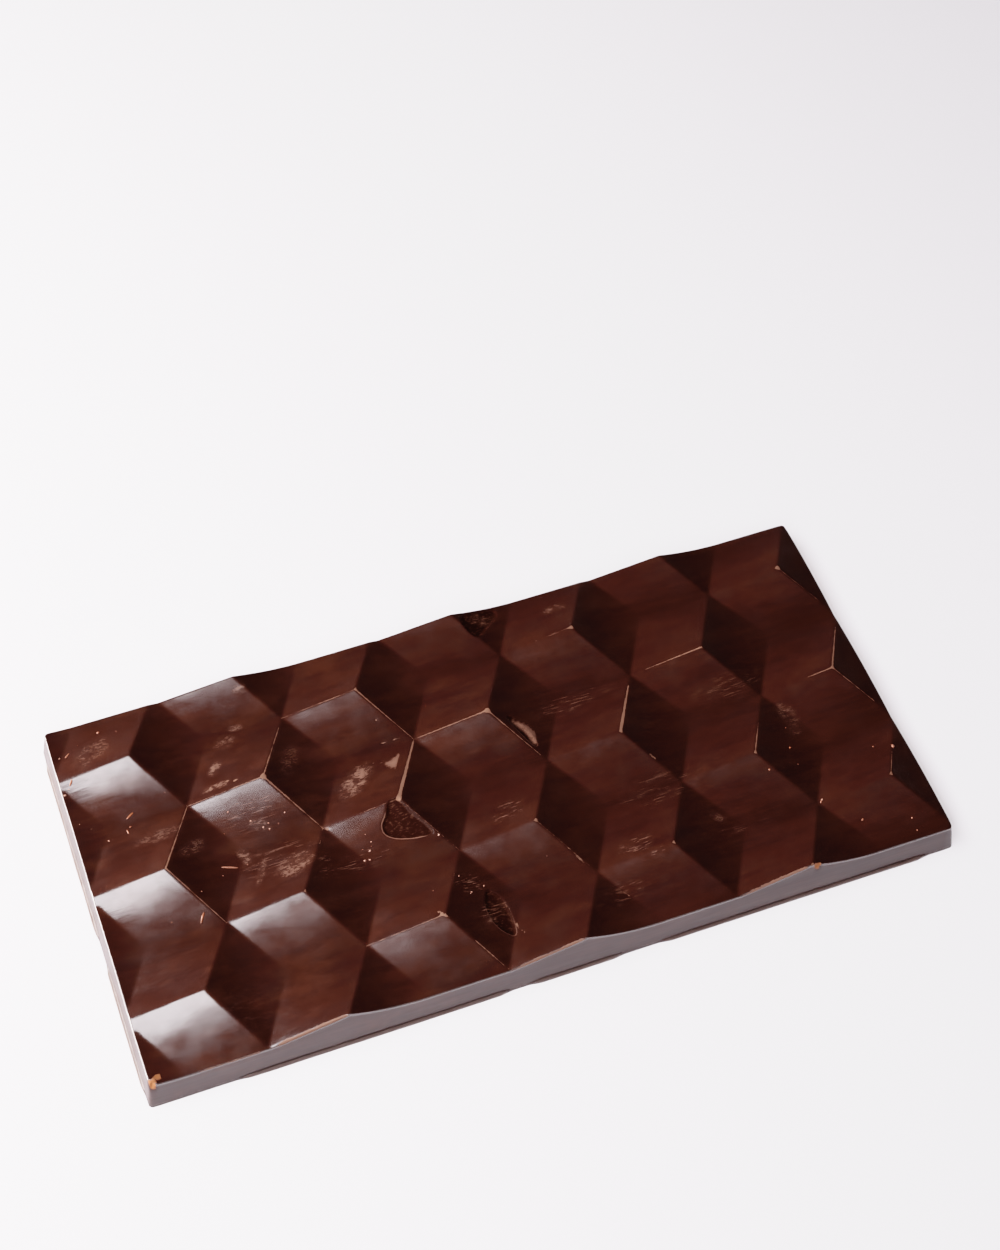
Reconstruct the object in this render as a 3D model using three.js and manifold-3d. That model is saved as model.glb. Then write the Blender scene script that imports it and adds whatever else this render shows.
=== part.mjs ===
// Moulded dark chocolate bar with a relief of tumbling blocks on its top.
// Millimetres, +Z up, +X along the bar, origin at the centre of the flat underside.
import * as THREE from 'three';
import { mergeVertices } from 'three/addons/utils/BufferGeometryUtils.js';
import Module from 'manifold-3d';

// Overall sizes of the bar, measured at its foot and without the lip
const BAR_LENGTH = 155;
const BAR_WIDTH = 77.2;
const EDGE_HEIGHT = 6.3;
const PEAK_RISE = 2.7;
const WALL_DRAFT_DEG = 8;
const CORNER_RADIUS = 0.9;
const CORNER_SEGMENTS = 4;

// Relief: seven columns of blocks, three to a column, every other column half a block lower
const ROW_PITCH = 25.5;
const ROWS = 3;
const COLUMNS = 7;
const COLUMN_PITCH = ROW_PITCH * Math.sqrt(3) / 2;
const LATTICE_LEFT = -COLUMNS * COLUMN_PITCH / 2 - 0.24;
const LATTICE_NEAR = -ROWS * ROW_PITCH / 2 + 1;
const STEPS_PER_RIDGE = 6;

// Lip of set chocolate round the foot, where the back of the mould was scraped level
const LIP_HEIGHT = 0.9;
const LIP_OUT = 0.4;
const LIP_BURIED = 1.5;
const LIP_TAPER = 1.6;

// Stretches of lip on each side, from and to along that side
const LIP_STRETCHES = {
  near: [[-62, -10.5], [-8, 11.2], [17.3, 72.4]],
  far: [[-70, -31], [-24, 38], [46, 73]],
  left: [[-36.5, -9.2], [-5, 36]],
  right: [[-35.5, 8], [13, 36.5]],
};

// Pits left by air trapped against the mould: rim points, and depth below the face
const PITS = [
  {
    depth: 0.42,
    rim: [[-18.4, 1.1], [-20.6, 1.2], [-22, -1], [-23.2, -2.6], [-23.2, -4.4],
      [-21.7, -5.8], [-19.6, -6.6], [-17.3, -7.1], [-14.6, -7.0], [-15.4, -4.6], [-17.1, -1.9]],
  },
  {
    depth: 0.4,
    rim: [[-9.6, -21.4], [-8.1, -22.6], [-7.2, -25], [-7, -28.6], [-7.7, -31.4],
      [-9.8, -29.8], [-11, -26.8], [-10.8, -23.6]],
  },
  {
    depth: 0.35,
    rim: [[6.6, 11.9], [7.9, 11.2], [9.2, 8.8], [10.2, 6], [10.2, 4.4], [9.2, 4.9],
      [8, 7.4], [7, 9.8]],
  },
  {
    depth: 0.35,
    rim: [[6, 36.2], [9.5, 37], [13.4, 36.4], [12.8, 34.6], [10.4, 32.8], [8.2, 31.2], [6.6, 32.8]],
  },
];

// Chips knocked off the rim of the top: centre of the bite and its radius
const CHIPS = [
  { at: [-77.2, -38.6, 7.2], radius: 2.1 },
  { at: [48.6, -38.6, 8.4], radius: 1.5 },
  { at: [77.4, -38.4, 7.2], radius: 1.2 },
];

// Spare material beyond the outline, cut away with it
const SPARE_ROWS = 1;
const SPARE_COLUMNS = 2;
const UNDERCUT = 3;
const HEADROOM = 1;

const CHOCOLATE = { color: '#3a1a13', roughness: 0.32, metalness: 0 };

const wasm = await Module();
wasm.setup();

// Shares of the nearest peak or valley at a point of the lattice, given in node steps:
// 1 on the point itself, falling evenly to 0 at the six points round it.
function nearness(i, j) {
  const wrappedI = i - Math.round(i);
  const wrappedJ = j - Math.round(j);
  let share = 0;
  for (const stepI of [-1, 0, 1]) {
    for (const stepJ of [-1, 0, 1]) {
      const a = wrappedI + stepI;
      const b = wrappedJ + stepJ;
      const reach = Math.max(Math.abs(a + 2 * b), Math.abs(a - b), Math.abs(2 * a + b));
      share = Math.max(share, 1 - reach);
    }
  }
  return share;
}

// Height of the top face. Each block face is a saddle spanned by two straight ridges:
// it falls evenly along both ridges and flattens towards the valley between blocks.
function topHeight(x, y) {
  const column = (x - LATTICE_LEFT) / COLUMN_PITCH;
  const row = (y - LATTICE_NEAR) / ROW_PITCH - 0.5;
  const i = column / 2 + row;
  const j = column / 2 - row;
  const peakShare = nearness(i - 1 / 3, j - 1 / 3);
  const valleyShare = nearness(i - 2 / 3, j - 2 / 3);
  return EDGE_HEIGHT + PEAK_RISE * peakShare * (1 - valleyShare);
}

function toSolid(geometry) {
  const bare = geometry.clone();
  bare.deleteAttribute('normal');
  bare.deleteAttribute('uv');
  const merged = mergeVertices(bare, 1e-5);
  return new wasm.Manifold(new wasm.Mesh({
    numProp: 3,
    vertProperties: new Float32Array(merged.attributes.position.array),
    triVerts: new Uint32Array(merged.index.array),
  }));
}

function toGeometry(solid) {
  const mesh = solid.getMesh();
  const geometry = new THREE.BufferGeometry();
  geometry.setAttribute('position', new THREE.BufferAttribute(mesh.vertProperties, 3));
  geometry.setIndex(new THREE.BufferAttribute(mesh.triVerts, 1));
  geometry.computeVertexNormals();
  return geometry;
}

// Block whose top is the relief. Its grid is sheared into even triangles, so that
// every ridge and valley line of the pattern runs along triangle edges.
function reliefBlock() {
  const step = (2 / 3) * COLUMN_PITCH / STEPS_PER_RIDGE;
  const rowStep = ROW_PITCH / 2 / STEPS_PER_RIDGE;
  const rows = 2 * STEPS_PER_RIDGE * ROWS + 2 * SPARE_ROWS;
  const columns = Math.ceil(BAR_LENGTH / step + rows / 2) + 2 * SPARE_COLUMNS;
  const geometry = new THREE.BoxGeometry(columns, rows, 1, columns, rows, 1);
  const points = geometry.attributes.position;
  for (let n = 0; n < points.count; n += 1) {
    const row = Math.round(points.getY(n) + rows / 2) - SPARE_ROWS;
    const column = Math.round(points.getX(n) + columns / 2) - SPARE_COLUMNS;
    const x = LATTICE_LEFT + (column - row / 2) * step;
    const y = LATTICE_NEAR + row * rowStep;
    const z = points.getZ(n) > 0 ? topHeight(x, y) : -UNDERCUT;
    points.setXYZ(n, x, y, z);
  }
  return toSolid(geometry);
}

function roundedRectangle(length, width, radius) {
  const x = length / 2 - radius;
  const y = width / 2 - radius;
  const shape = new THREE.Shape();
  shape.absarc(x, y, radius, 0, Math.PI / 2);
  shape.absarc(-x, y, radius, Math.PI / 2, Math.PI);
  shape.absarc(-x, -y, radius, Math.PI, 1.5 * Math.PI);
  shape.absarc(x, -y, radius, 1.5 * Math.PI, 2 * Math.PI);
  return shape;
}

// Block with the outline of the bar, its four walls leaning in by the draft of the mould.
function draftedBlock() {
  const height = EDGE_HEIGHT + PEAK_RISE + HEADROOM;
  const geometry = new THREE.ExtrudeGeometry(
    roundedRectangle(BAR_LENGTH, BAR_WIDTH, CORNER_RADIUS),
    { depth: height, bevelEnabled: false, curveSegments: CORNER_SEGMENTS },
  );
  const lean = Math.tan(THREE.MathUtils.degToRad(WALL_DRAFT_DEG));
  const points = geometry.attributes.position;
  for (let n = 0; n < points.count; n += 1) {
    const inset = lean * points.getZ(n);
    const x = points.getX(n) * (1 - 2 * inset / BAR_LENGTH);
    const y = points.getY(n) * (1 - 2 * inset / BAR_WIDTH);
    points.setXY(n, x, y);
  }
  return toSolid(geometry);
}

// Stretch of lip along the near side, standing out towards -Y and thinning at both ends.
function lipStretch(from, to, distance) {
  const shape = new THREE.Shape();
  shape.moveTo(from, LIP_BURIED);
  shape.lineTo(from, 0);
  shape.lineTo(from + LIP_TAPER, -LIP_OUT);
  shape.lineTo(to - LIP_TAPER, -LIP_OUT);
  shape.lineTo(to, 0);
  shape.lineTo(to, LIP_BURIED);
  shape.closePath();
  const geometry = new THREE.ExtrudeGeometry(shape, { depth: LIP_HEIGHT, bevelEnabled: false });
  geometry.translate(0, -distance, 0);
  return geometry;
}

// Lip on all four sides. Each side is made as the near one and turned into place.
function lip() {
  const sides = [
    { name: 'near', turn: 0, distance: BAR_WIDTH / 2, sign: 1 },
    { name: 'right', turn: Math.PI / 2, distance: BAR_LENGTH / 2, sign: 1 },
    { name: 'far', turn: Math.PI, distance: BAR_WIDTH / 2, sign: -1 },
    { name: 'left', turn: -Math.PI / 2, distance: BAR_LENGTH / 2, sign: -1 },
  ];
  const pieces = [];
  for (const side of sides) {
    for (const stretch of LIP_STRETCHES[side.name]) {
      const ends = stretch.map((place) => place * side.sign).sort((a, b) => a - b);
      const geometry = lipStretch(ends[0], ends[1], side.distance);
      geometry.rotateZ(side.turn);
      pieces.push(toSolid(geometry));
    }
  }
  return pieces;
}

// Cutter for a pit: the rim smoothed into a closed curve, with a floor that follows
// the face at the given depth.
function pitCutter(pit) {
  const curve = new THREE.SplineCurve([...pit.rim, pit.rim[0]].map(([x, y]) => new THREE.Vector2(x, y)));
  const shape = new THREE.Shape(curve.getPoints(2 * pit.rim.length).slice(0, -1));
  const geometry = new THREE.ExtrudeGeometry(shape, { depth: 1, bevelEnabled: false });
  const points = geometry.attributes.position;
  for (let n = 0; n < points.count; n += 1) {
    const floor = topHeight(points.getX(n), points.getY(n)) - pit.depth;
    points.setZ(n, points.getZ(n) > 0.5 ? EDGE_HEIGHT + PEAK_RISE + HEADROOM : floor);
  }
  return toSolid(geometry);
}

function chipCutter(chip) {
  const geometry = new THREE.IcosahedronGeometry(chip.radius, 1);
  geometry.translate(...chip.at);
  return toSolid(geometry);
}

function bar() {
  let solid = reliefBlock().intersect(draftedBlock());
  for (const piece of lip()) {
    solid = solid.add(piece);
  }
  for (const pit of PITS) {
    solid = solid.subtract(pitCutter(pit));
  }
  for (const chip of CHIPS) {
    solid = solid.subtract(chipCutter(chip));
  }
  const mesh = new THREE.Mesh(toGeometry(solid), new THREE.MeshStandardMaterial(CHOCOLATE));
  mesh.name = 'bar';
  return mesh;
}

const chocolateBar = new THREE.Group();
chocolateBar.add(bar());

export default chocolateBar;
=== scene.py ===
"""Moulded bar of dark chocolate with a relief of tumbling blocks, dressed for a product photograph.

The frame gives the bar's box. Everything else is worked out from the mould's sizes in MouldSizes.
Lengths inside the shape functions are millimetres; they become metres when a mesh is built.
"""
import math
from functools import partial
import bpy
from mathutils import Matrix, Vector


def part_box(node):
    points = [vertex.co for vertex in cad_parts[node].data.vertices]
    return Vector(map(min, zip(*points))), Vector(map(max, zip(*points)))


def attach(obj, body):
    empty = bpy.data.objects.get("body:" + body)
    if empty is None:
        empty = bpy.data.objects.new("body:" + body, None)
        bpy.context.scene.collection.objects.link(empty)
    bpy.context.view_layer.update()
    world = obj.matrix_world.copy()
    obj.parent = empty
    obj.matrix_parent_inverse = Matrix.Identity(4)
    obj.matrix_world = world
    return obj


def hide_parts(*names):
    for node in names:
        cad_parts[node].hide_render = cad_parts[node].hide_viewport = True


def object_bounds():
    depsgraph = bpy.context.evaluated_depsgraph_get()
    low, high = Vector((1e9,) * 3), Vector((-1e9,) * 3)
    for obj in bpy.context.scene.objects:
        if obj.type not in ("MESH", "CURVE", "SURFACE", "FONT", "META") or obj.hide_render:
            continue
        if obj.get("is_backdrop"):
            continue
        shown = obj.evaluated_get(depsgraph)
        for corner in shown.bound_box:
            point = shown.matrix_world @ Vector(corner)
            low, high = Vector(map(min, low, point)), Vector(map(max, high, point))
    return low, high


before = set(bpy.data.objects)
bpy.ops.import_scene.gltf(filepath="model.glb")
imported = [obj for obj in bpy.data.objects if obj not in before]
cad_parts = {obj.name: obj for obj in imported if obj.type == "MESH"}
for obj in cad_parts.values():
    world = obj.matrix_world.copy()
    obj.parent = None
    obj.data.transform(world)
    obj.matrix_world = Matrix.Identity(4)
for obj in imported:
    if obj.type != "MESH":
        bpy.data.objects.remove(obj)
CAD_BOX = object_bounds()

from types import SimpleNamespace

import bpy
import numpy as np
from bpy.props import FloatProperty, FloatVectorProperty, PointerProperty
from mathutils import Matrix, Vector

bl_info = {
    "name": "Moulded chocolate bar",
    "version": (1, 0, 0),
    "blender": (4, 5, 0),
    "location": "3D View > Sidebar > Chocolate",
    "description": "Builds a dark chocolate bar with a tumbling-block relief, its crumbs and a pale studio",
    "category": "Add Mesh",
}

MM = 0.001
BODY = "root"
NODE = "bar"
FOOT_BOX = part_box(NODE)
BAR_SPAN = [FOOT_BOX[1][axis] - FOOT_BOX[0][axis] for axis in range(3)]

# The mould's pattern: blocks in columns along the bar, every other column half a block lower
COLUMNS = 7
ROWS = 3
LATTICE_SHIFT = (-0.24, 1.0)

# Grid cells to a third of a column and to half a row
STEPS = 24

# Slow waver of the top from cooling, and the depths inside the rim where it begins and is full
TOP_WAVER = 0.024
WAVER_DEPTHS = (0.3, 2.0)

# Noise: cells along each side of its table, and the place in it where the bar's middle lies
NOISE_CELLS = 64
NOISE_START = 90.0

# Stretches of lip round the foot, from and to along each side, in millimetres
LIP_STRETCHES = {
    "near": ((-62.0, -10.5), (-8.0, 11.2), (17.3, 72.4)),
    "far": ((-70.0, -31.0), (-24.0, 38.0), (46.0, 73.0)),
    "left": ((-36.5, -9.2), (-5.0, 36.0)),
    "right": ((-35.5, 8.0), (13.0, 36.5)),
}
LIP_TAPER = 3.0
LIP_OUT_MM = 0.4

# Mean share and unevenness of the lip's height and of how far it stands out
LIP_HEIGHT_SHARE = (0.82, 0.36)
LIP_OUT_SHARE = (0.8, 0.24)

# Lip ring by ring: height as a share of the lip's top, plus millimetres; how far out as a share of the
# lip's width, plus millimetres; share of the parting line's depth; share of the scraped look
LIP_PROFILE = (
    (1, 0.22, 0, 0, 0, 0), (1, 0.10, 0, 0, 0, 0.2), (1, 0.03, 0, 0, 1, 0), (1, -0.02, 0, 0, 1, 0),
    (1, 0, 0.78, 0, 0, 1), (1, -0.08, 1, 0, 0, 1), (0.45, 0, 1.02, 0, 0, 1), (0, 0.12, 1, 0, 0, 1),
    (0, 0.03, 1, -0.04, 0, 1), (0, 0, 1, -0.14, 0, 0), (0, 0, 1, -0.8, 0, 0),
)
PARTING_DEPTH = 0.12

# Wall: rings as shares of the way down from the rim, foot in lip heights, and sideways sway
WALL_FALLS = (0.0, 0.1, 0.25, 0.45, 0.65, 0.85, 1.0)
WALL_FOOT = 1.6
WALL_SWAY = 0.05

# A place on the outline belongs to a side when its normal points that way by at least this much
SIDE_FACING = 0.75

# Grid lines round the rim, at depths counted in rim radii
RIM_LINES = (0.0, 0.08, 0.3, 0.62, 1.0, 2.0)

# Pits left by air trapped against the mould: depth, strength of the pale rim line, then rim points
PITS = (
    (0.24, 1.0, ((-18.4, 1.1), (-20.6, 1.2), (-22.0, -1.0), (-23.2, -2.6), (-23.2, -4.4), (-21.7, -5.8),
                  (-19.6, -6.6), (-17.3, -7.1), (-14.6, -7.0), (-15.4, -4.6), (-17.1, -1.9))),
    (0.22, 0.3, ((-9.6, -21.4), (-8.1, -22.6), (-7.2, -25.0), (-7.0, -28.6), (-7.7, -31.4),
                  (-9.8, -29.8), (-11.0, -26.8), (-10.8, -23.6))),
    (0.2, 0.3, ((6.6, 11.9), (7.9, 11.2), (9.2, 8.8), (10.2, 6.0), (10.2, 4.4), (9.2, 4.9),
                 (8.0, 7.4), (7.0, 9.8))),
    (0.22, 0.0, ((6.0, 36.2), (9.5, 37.0), (13.4, 36.4), (12.8, 34.6), (10.4, 32.8), (8.2, 31.2),
                 (6.6, 32.8))),
)
PIT_WALL = 0.5
PIT_UNEVENNESS = 0.05
PIT_LINE_SIDE = (-0.75, -0.65)

# Chips knocked off the rim: centre of the bite, then its radius
CHIPS = (
    ((-77.2, -38.6, 7.2), 2.1),
    ((48.6, -38.6, 8.4), 1.5),
    ((77.4, -38.4, 7.2), 1.2),
)
CHIP_ROUGHNESS = 0.16
CHIP_SOFT = 0.25

# Fresh scrape that runs in from the bite at the near left corner: start, end, half-width
CHIP_SCRAPE = ((-76.1, -37.2), (-74.5, -36.0), 0.7)

# Ridges with pale lines, partly wear and partly a painted highlight of the rounded ridges: column, row,
# which ridge of the block, from and to along it, half-width at its peak
RUBBED_AND_HIGHLIT_RIDGES = (
    (1, 1.5, "far", 0.0, 1.0, 0.17), (1, 1.5, "near", 0.0, 1.0, 0.15),
    (2, 1, "far", 0.0, 0.85, 0.15), (2, 1, "left", 0.0, 1.0, 0.12), (2, 1, "near", 0.0, 1.0, 0.2),
    (3, 0.5, "near", 0.0, 1.0, 0.19), (3, 0.5, "left", 0.0, 1.0, 0.11),
    (3, 1.5, "far", 0.0, 0.95, 0.4), (3, 1.5, "near", 0.1, 1.0, 0.07), (3, 1.5, "left", 0.0, 0.5, 0.08),
    (3, 2.5, "near", 0.5, 1.0, 0.14), (3, 2.5, "left", 0.0, 1.0, 0.1),
    (4, 1, "left", 0.0, 1.0, 0.15), (4, 1, "near", 0.0, 0.9, 0.16), (4, 2, "near", 0.0, 0.9, 0.07),
    (5, 1.5, "far", 0.0, 0.8, 0.34), (5, 0.5, "left", 0.0, 0.5, 0.1),
    (6, 1, "left", 0.0, 0.8, 0.17), (6, 2, "far", 0.0, 0.5, 0.17),
    (7, 0.5, "near", 0.0, 0.7, 0.1), (7, 1.5, "far", 0.0, 0.8, 0.2), (7, 1.5, "near", 0.0, 0.7, 0.14),
    (7, 1.5, "left", 0.0, 0.35, 0.15), (7, 2.5, "far", 0.0, 0.4, 0.12),
)
# Faint pale line along every ridge, partly wear and partly a painted highlight of its rounded crest; then the
# share by which a line along a listed ridge narrows towards its low end
RIDGE_FAINT_WEAR_AND_HIGHLIGHT = -0.03
RIDGE_NARROWING = 0.45

# Depth that a rub takes off for each millimetre of its half-width, and the half-width where that stops
RUB_SHAVE = 0.28
RUB_SHAVE_REACH = 0.4

# Peaks knocked blunt: column, row, radius
BLUNT_PEAKS = (
    (2, 1, 0.62), (3, 0.5, 0.34), (3, 1.5, 0.62), (4, 1, 0.6), (5, 0.5, 0.48), (5, 1.5, 0.42), (4, 2, 0.4),
    (5, 2.5, 0.3), (6, 3, 0.34), (7, 0.5, 0.5), (7, 1.5, 0.34), (7, 2.5, 0.36), (6, 2, 0.36), (1, 1.5, 0.22),
    (2, 2, 0.2),
)

# Short rubs away from the ridges: start, end, half-width
RUBS = (
    (-17.5, 14.9, -15.6, 14.5, 0.15), (-15.1, 14.8, -12.7, 14.5, 0.15), (-16.9, 19.7, -16.7, 19.3, 0.2),
    (-13.2, -14.8, -13.7, -15.7, 0.1), (-14.0, -16.2, -14.3, -16.8, 0.14), (-14.8, -17.3, -15.0, -17.8, 0.14),
    (-15.4, -18.5, -15.5, -18.9, 0.1), (-15.9, -21.1, -16.0, -21.5, 0.1), (-19.6, -23.3, -18.5, -25.0, 0.24),
    (-7.5, -24.7, -7.0, -26.1, 0.13), (-6.8, -29.1, -6.8, -30.2, 0.22), (-6.3, -31.0, -6.0, -31.3, 0.2),
    (6.4, -16.7, 7.9, -19.5, 0.1), (7.9, -19.5, 9.0, -22.0, 0.14), (13.1, -28.8, 14.4, -30.9, 0.14),
    (29.1, -4.9, 29.8, -6.0, 0.2), (-47.4, 9.4, -47.2, 8.0, 0.09), (-35.1, -2.4, -34.3, -1.0, 0.12),
    (-32.9, 0.6, -32.2, 0.2, 0.2), (-47.4, 16.0, -46.6, 15.6, 0.2), (-46.0, 15.3, -45.3, 15.5, 0.26),
    (34.9, -20.4, 35.6, -20.9, 0.12), (-21.4, 11.5, -18.3, 10.4, 0.16), (-74.1, 15.2, -72.6, 14.6, 0.1),
)

# Thin scales of surface gone from a face, leaving pale matt chocolate
SHED_SCALES = (
    ((-18.4, 10.2), (-16.4, 10.7), (-14.7, 11.6), (-15.9, 9.7), (-16.7, 8.3), (-17.9, 9.1)),
    ((6.8, 11.2), (9.8, 9.3), (10.7, 7.3), (10.3, 4.8), (9.4, 4.9), (8.8, 7.7), (7.5, 9.7)),
)

# Pale stretches of the near rim, partly scuffed and partly a painted highlight of the rounded rim: from, to,
# width. They taper over these lengths at the left and the right, and count in the field by this share of their
# width
RIM_RUB_AND_HIGHLIGHT_TAPERS = (3.0, 1.0)
RIM_RUB_AND_HIGHLIGHT_SHARE = 0.5
NEAR_RIM_RUBS_AND_HIGHLIGHTS = ((-71.0, -56.5, 0.2), (-55.4, -40.7, 0.55), (-11.3, 3.4, 0.42), (32.9, 47.0, 0.42))

# Patches of pale bloom: middle, half-length, half-width, turn in degrees, strength
BLOOM = (
    (-48.4, 19.8, 2.1, 1.0, 48, 1.0), (-49.4, 15.6, 3.0, 0.6, 2, 1.1), (-24.6, 8.4, 4.8, 2.3, 38, 1.2),
    (-44.2, 5.4, 2.6, 1.2, -40, 0.55), (-48.5, 0.0, 2.4, 1.1, -68, 1.0), (-40.3, -4.8, 4.4, 2.4, 25, 1.25),
    (-46.6, -4.1, 3.2, 0.8, 60, 0.75), (-42.3, 27.2, 1.9, 0.5, 0, 0.8), (-45.2, 24.8, 2.6, 1.5, 20, 0.55),
    (-39.3, 34.5, 1.7, 1.1, 30, 0.8), (24.4, 32.7, 2.6, 1.0, 0, 0.7), (9.6, 35.2, 2.8, 1.4, -20, 0.6),
    (36.2, -21.2, 1.9, 0.9, -50, 0.5), (-11.0, -27.3, 1.6, 0.6, 12, 0.9), (58.0, -4.6, 3.4, 1.8, -77, 0.45),
    (57.6, -8.6, 1.6, 1.0, 0, 0.55), (-62.0, 9.0, 6.0, 1.6, 2, 0.35), (-57.0, 4.5, 3.0, 1.6, 20, 0.45),
    (-69.0, 30.5, 5.0, 2.5, 30, 0.35), (-35.0, 16.5, 4.0, 2.0, 60, 0.3),
)

# Patches of fine lengthwise scratches, given the same way
SCRATCHES = (
    (19.2, -21.9, 3.8, 1.9, 6, 1.0), (21.6, -24.8, 2.4, 0.9, 0, 0.9), (-0.2, -7.4, 3.6, 2.2, 14, 0.75),
    (-9.8, -25.4, 3.2, 1.6, 14, 1.3), (-12.0, -19.2, 3.0, 2.4, -40, 1.0), (39.9, -24.6, 6.8, 0.7, -3, 0.6),
    (-45.0, 8.0, 6.0, 4.0, 4, 0.45), (-34.8, -5.6, 1.6, 0.8, 0, 0.9), (-60.0, -30.0, 9.0, 5.0, 4, 0.15),
    (-30.0, -8.0, 10.0, 2.2, 3, 0.45), (28.0, -12.0, 9.0, 4.0, 5, 0.4), (20.0, 12.0, 9.0, 2.5, 5, 0.4),
    (-43.0, -2.5, 8.0, 4.0, 8, 0.5), (14.0, -30.0, 6.0, 2.4, 8, 0.4), (50.0, 5.0, 9.0, 3.0, 5, 0.35),
)

# Shares of the way out of a patch where its fading begins and ends
PATCH_FADE = (0.35, 1.15)

# Crumbs: place, length, width, turn in degrees, and 1 for tan or 0 for pale
CRUMBS = (
    (-65.88, 15.16, 1.7, 0.34, 32, 1.0), (-67.1, 12.0, 0.9, 0.3, -86, 0.9), (-66.4, 12.9, 0.4, 0.22, 10, 0.9),
    (-74.31, 25.42, 1.4, 0.34, -123, 1.0), (-76.0, 23.4, 0.42, 0.38, 0, 0.1),
    (-66.87, 34.47, 0.5, 0.4, 0, 0.9), (-73.56, 31.62, 1.3, 0.26, 39, 0.8),
    (-70.83, 11.36, 0.36, 0.3, 0, 0.4), (-59.22, -9.66, 2.1, 0.38, -123, 1.0),
    (-51.7, -1.3, 3.0, 0.3, -19, 0.7), (-26.77, -6.51, 0.4, 0.34, 0, 0.0),
    (-28.26, -8.09, 0.46, 0.38, 0, 0.1), (-27.34, -8.21, 0.32, 0.26, 0, 0.3),
    (-13.93, -7.88, 0.38, 0.34, 0, 0.0), (73.3, -18.52, 0.72, 0.6, 80, 0.7),
    (61.25, -30.65, 0.46, 0.36, 20, 0.8), (70.0, -33.5, 0.34, 0.28, 0, 0.6),
    (56.0, -24.15, 0.4, 0.3, 40, 0.1), (48.9, -15.7, 0.4, 0.3, 60, 0.9), (55.0, -12.0, 0.4, 0.34, 0, 1.0),
    (-45.4, 6.6, 0.3, 0.24, 0, 0.1), (-43.6, 4.6, 0.34, 0.26, 50, 0.0), (-42.6, 3.9, 0.36, 0.28, 0, 0.1),
    (-26.0, -4.9, 0.26, 0.2, 0, 0.2), (-12.3, -21.0, 0.32, 0.24, 0, 0.1), (-9.7, -20.3, 0.4, 0.26, 30, 0.2),
    (-13.4, -17.2, 0.34, 0.2, 40, 0.1),
)

# Crumbs: lumpiness, bend for a length of one, half-thickness as a share of half-width and at most,
# lift off the relief in half-thicknesses, and how far below the highest peaks they stay
CRUMB_LUMPS = 0.45
CRUMB_BEND = 0.1
CRUMB_FLATNESS = 0.7
CRUMB_THICKEST = 0.16
CRUMB_LIFT = 0.55
CRUMB_CLEARANCE = 0.02

# Stray crumbs: how many, smallest size and spread of sizes, scatter round a crumb, and how far out they lie
STRAY_CRUMBS = 26
STRAY_SIZE = (0.10, 0.16)
STRAY_SCATTER = (4.5, 3.5)
STRAY_REACH = (75, 36)


def to_linear(hex_colour):
    """sRGB hex text such as '3a1a13' as linear red, green and blue."""
    values = [int(hex_colour[start:start + 2], 16) / 255 for start in (0, 2, 4)]
    return tuple(v / 12.92 if v <= 0.04045 else ((v + 0.055) / 1.055) ** 2.4 for v in values)


def colour_setting(name, description, default):
    """Colour that a user can change."""
    return FloatVectorProperty(
        name=name, description=description, subtype="COLOR", size=3, default=default, min=0.0, max=1.0)


def length_setting(name, description, default, low, high):
    """Length in metres that a user can change."""
    return FloatProperty(name=name, description=description, default=default, min=low, max=high,
                         subtype="DISTANCE", unit="LENGTH")


def share_setting(name, description, default):
    """Share from 0 to 1 that a user can change."""
    return FloatProperty(
        name=name, description=description, default=default, min=0.0, max=1.0, subtype="FACTOR")


class MouldSizes(bpy.types.PropertyGroup):
    """Sizes of the bar as the mould gives them."""

    row_pitch: length_setting("Row pitch", "Distance between two blocks in a column", 0.0255, 0.01, 0.05)
    edge_height: length_setting(
        "Edge height", "Height of the walls where a block is lowest", 0.0063, 0.003, 0.02)
    peak_rise: length_setting(
        "Peak rise", "Rise of a block's peak above its lowest corners", 0.0027, 0.0, 0.01)
    wall_draft: FloatProperty(
        name="Wall draft", description="Lean of the walls that lets the bar leave the mould",
        default=math.radians(8.0), min=0.0, max=math.radians(30.0), subtype="ANGLE", unit="ROTATION")
    corner_radius: length_setting(
        "Corner radius", "Radius of the four upright corners", 0.0009, 0.0005, 0.005)
    rim_round: length_setting(
        "Rim round", "Radius of the edge between the top and the walls", 0.00026, 0.00005, 0.001)
    ridge_round: length_setting(
        "Ridge round", "Reach of the softening of ridges and creases", 0.00024, 0.0, 0.001)
    lip_height: length_setting(
        "Lip height", "Height of the lip of set chocolate round the foot", 0.0009, 0.0003, 0.002)


class ChocolateLook(bpy.types.PropertyGroup):
    """Colours and gloss of the chocolate."""

    dark: colour_setting("Chocolate", "Colour of clean chocolate", to_linear("210e0a"))
    light: colour_setting("Light streaks", "Colour of the paler flow marks", to_linear("27120c"))
    cloud: colour_setting("Tan clouds", "Colour of the slow pale clouds in the skin", to_linear("311a12"))
    pit: colour_setting("Pit", "Colour of the dull floors of the pits", to_linear("1f100c"))
    bloom: colour_setting("Bloom", "Colour of bloom, scratches and shed scales", to_linear("66493e"))
    # pale colour of ridges, peaks and the near rim: partly wear, partly a painted highlight of the rounded
    # ridges and rim
    worn_and_highlight: colour_setting("Worn ridge", "Colour of rubbed ridges and peaks", to_linear("6b4d40"))
    fresh: colour_setting("Fresh break", "Colour of the chipped rim", to_linear("804f34"))
    lip: colour_setting("Lip", "Colour of the scraped lip round the foot", to_linear("41302a"))
    roughness: share_setting("Roughness", "Roughness of the moulded faces", 0.18)
    satin: colour_setting("Satin", "Tint of the broad sheen under the clear skin", (1.0, 0.4, 0.28))
    gloss: share_setting("Gloss", "Strength of the reflections of the moulded faces", 1.0)
    wall_gloss: share_setting("Wall gloss", "Strength of the reflections of the walls", 0.43)


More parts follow.
